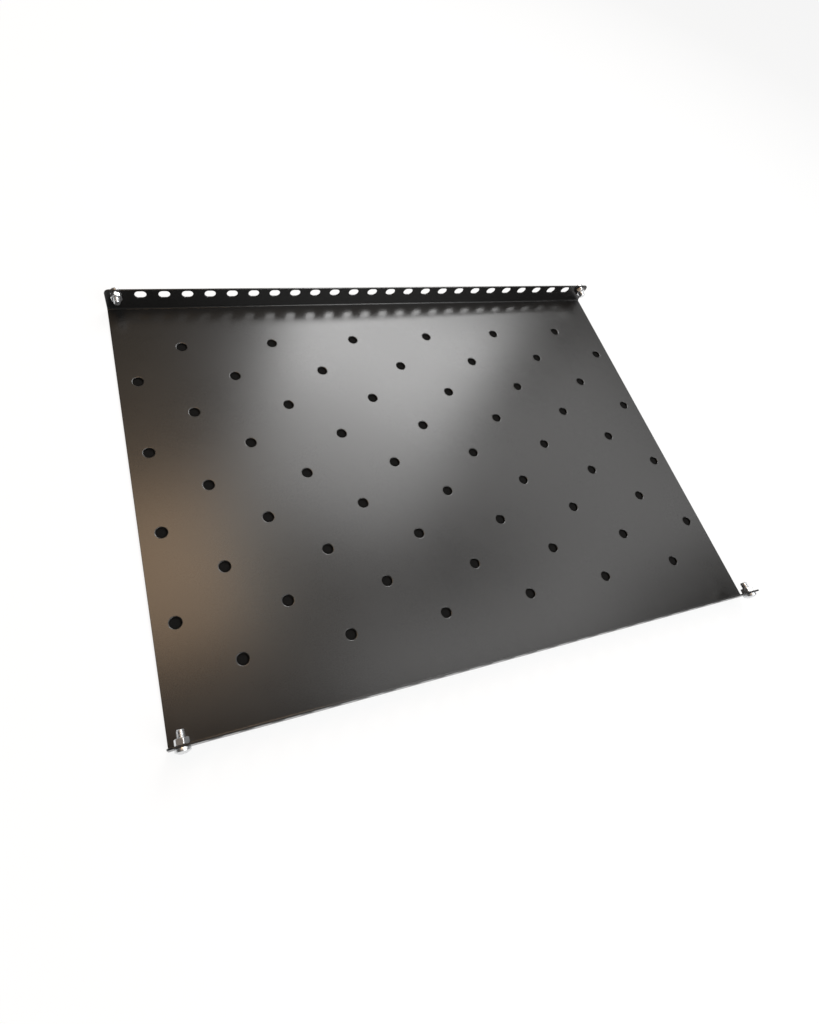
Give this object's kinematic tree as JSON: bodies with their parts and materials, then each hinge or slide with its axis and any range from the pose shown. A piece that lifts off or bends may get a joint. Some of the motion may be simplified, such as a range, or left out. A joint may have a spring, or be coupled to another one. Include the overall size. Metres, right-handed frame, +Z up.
{
  "type": "rack shelf",
  "caption": "Folded sheet rack shelf with staggered round deck holes, upturned slotted front and rear flanges, and pan-head screws with hexagon nuts in the flange ends.",
  "frame": {"origin": "middle of the deck, on its underside", "axes": "+X across the shelf along the flanges, +Y from the front flange to the rear one, +Z up"},
  "size_m": [0.4826, 0.3572, 0.02],
  "materials": {
    "black_coat": "satin black powder coat on sheet steel",
    "zinc": "bright zinc plate"
  },
  "bodies": {
    "root": {"shelf_pan": "black_coat", "corner_screws": "zinc", "corner_nuts": "zinc"}
  },
  "joints": []
}
